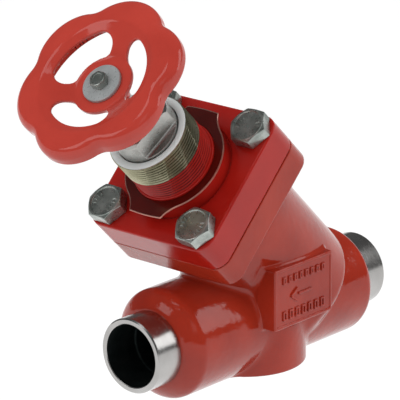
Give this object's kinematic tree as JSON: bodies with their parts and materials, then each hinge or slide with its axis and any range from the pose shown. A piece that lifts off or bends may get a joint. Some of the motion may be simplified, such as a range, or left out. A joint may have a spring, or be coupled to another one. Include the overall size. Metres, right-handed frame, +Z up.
{
  "type": "shut-off valve",
  "caption": "Cast shut-off valve with butt-weld pipe ends, a bolted square bonnet leaning over the outlet, a rising spindle with a soft-seated cone and a lobed handwheel.",
  "frame": {"origin": "centre of the inlet weld end's face, on the pipe axis", "axes": "+X along the pipe, out of the inlet, so the flow runs towards -X; +Z up, in the plane that holds the bonnet axis; -Y towards the cast rating panel"},
  "size_m": [0.2004, 0.074, 0.1805],
  "materials": {
    "body_paint": "gloss",
    "wheel_paint": "gloss",
    "label_paint": "satin",
    "bolt_steel": "satin",
    "bright_steel": "satin",
    "seal_plastic": "matte",
    "gasket_fibre": "matte",
    "seal_rubber": "matte"
  },
  "bodies": {
    "casing": {"valve_body": "body_paint", "bonnet": "body_paint", "bonnet_gasket": "gasket_fibre", "bonnet_bolts": "bolt_steel", "label_plate": "label_paint", "packing_gland": "bright_steel", "gland_seal_ring": "seal_rubber", "spindle_seal_rings": "seal_rubber", "wiper_ring": "seal_rubber", "packing_support_ring": "bright_steel", "packing_rings": "seal_plastic", "packing_follower_ring": "bright_steel", "disc_springs": "bright_steel"},
    "cone": {"valve_cone": "bright_steel", "cone_seal_ring": "seal_plastic", "seal_ring_disc": "bright_steel", "seal_ring_screw": "bolt_steel", "cone_thrust_washer": "bright_steel", "cone_nut": "bright_steel"},
    "spindle": {"spindle": "bright_steel", "handwheel": "wheel_paint", "handwheel_washer": "bolt_steel", "handwheel_screw": "bolt_steel"}
  },
  "joints": [
    {"name": "cone_lift", "type": "slide", "parent": "casing", "child": "cone", "axis": [-0.7071, 0, 0.7071], "range_m": [0, 0.01]},
    {"name": "handwheel_turn", "type": "hinge", "parent": "cone", "child": "spindle", "pos_m": [-0.0449, 0, 0], "axis": [-0.7071, 0, 0.7071], "range_deg": [0, 1800]}
  ],
  "couplings": [
    {"joint": "cone_lift", "follows": "handwheel_turn", "m_per_rad": 0.0003183}
  ]
}
